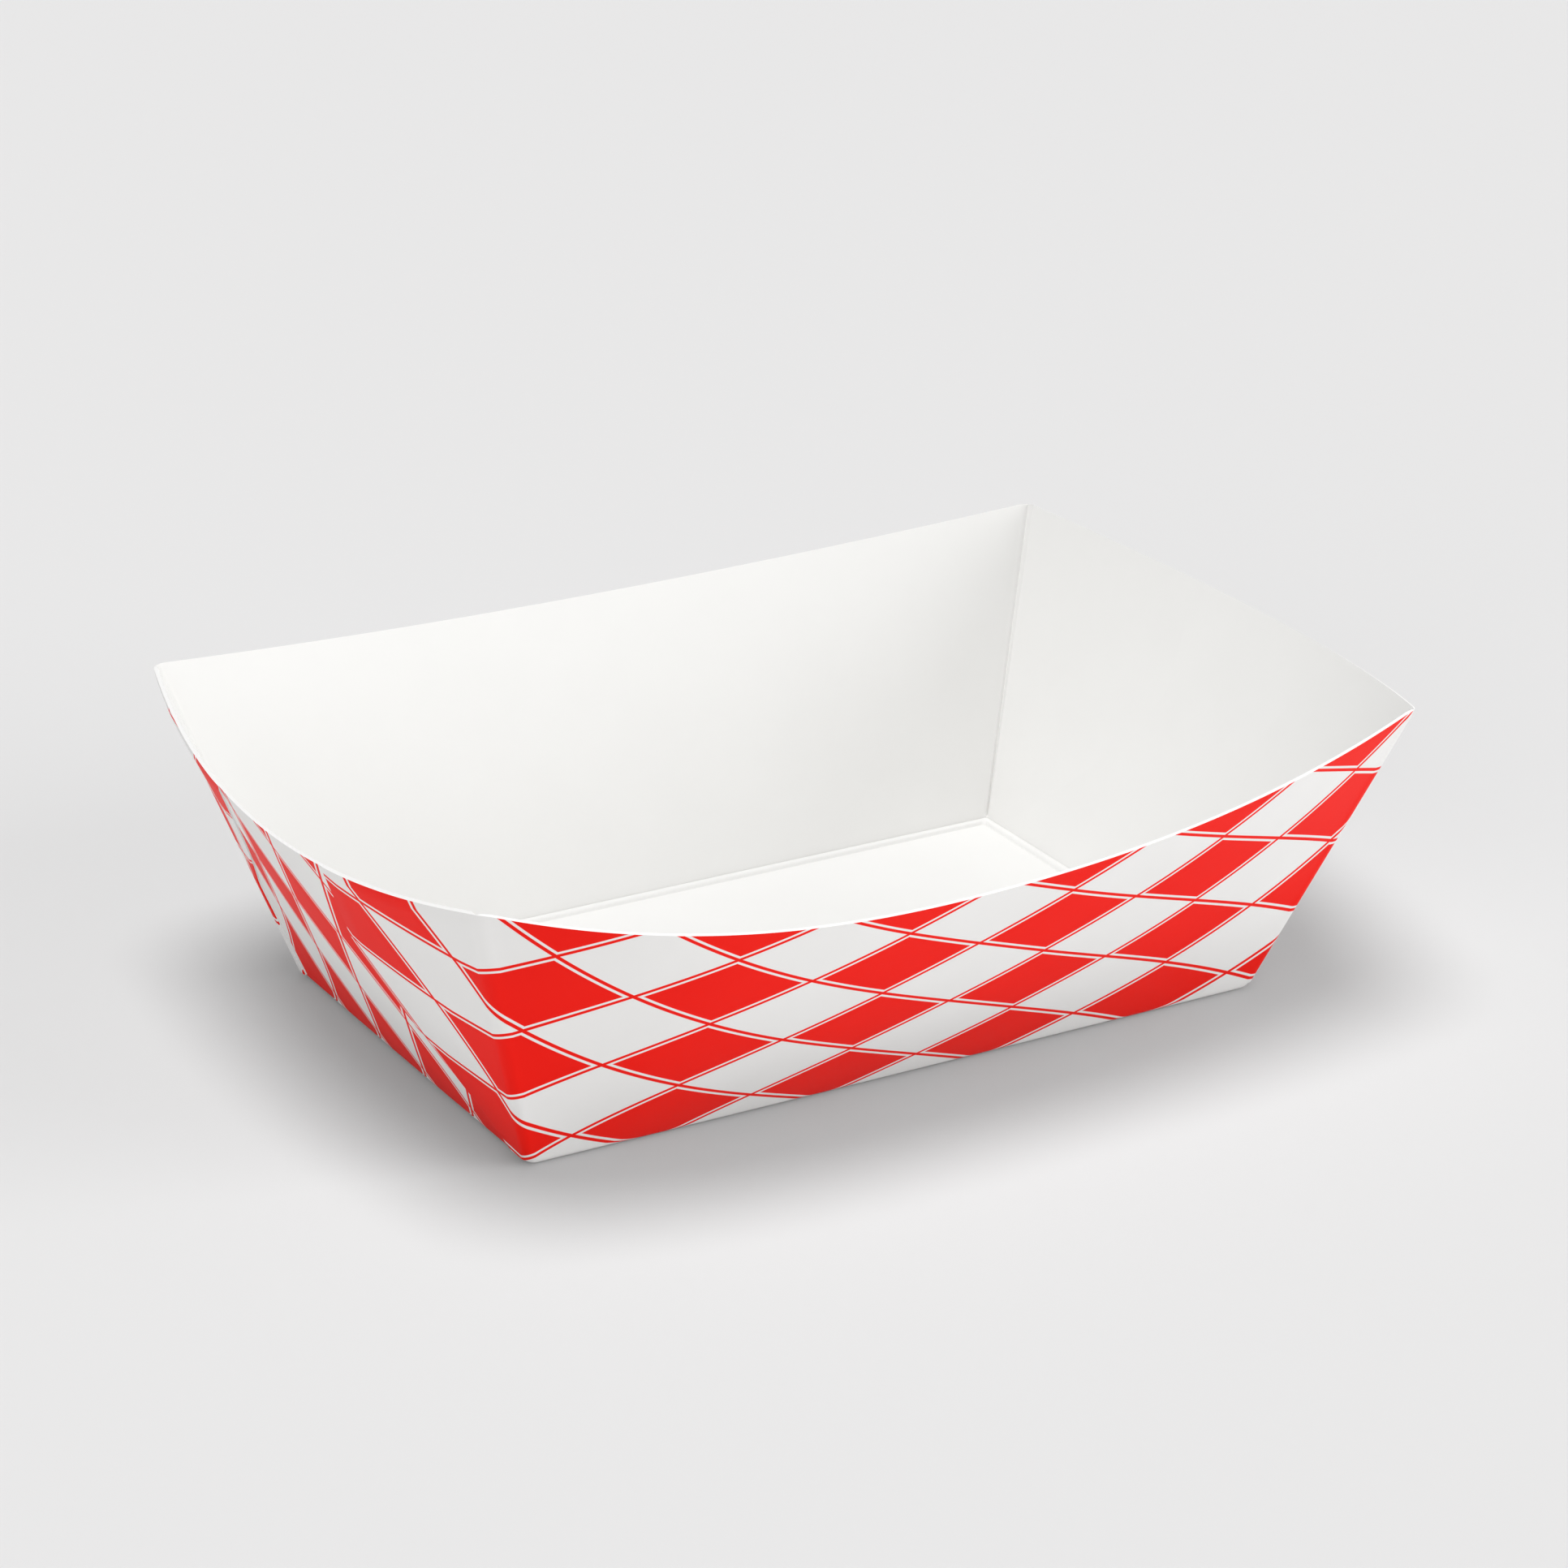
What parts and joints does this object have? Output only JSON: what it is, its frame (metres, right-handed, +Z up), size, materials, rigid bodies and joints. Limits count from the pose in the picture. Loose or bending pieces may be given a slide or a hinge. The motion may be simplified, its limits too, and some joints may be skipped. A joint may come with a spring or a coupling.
{
  "type": "paper food tray",
  "caption": "Open folded paperboard tray with flared, bowed walls, a dipped rim and corners lapped by glue tabs, for serving hot snacks.",
  "frame": {"origin": "underside of the flat base, at the middle of the base's four creases; the bowed walls reach a little further on some sides than on others", "axes": "+Z up from the base to the open rim, +X along the tray's length, the front wall facing -Y"},
  "size_m": [0.1851, 0.1308, 0.051],
  "materials": {
    "paperboard": "satin, bleached white with red diamond print on the outside"
  },
  "bodies": {
    "root": {"tray": "paperboard"}
  },
  "joints": []
}
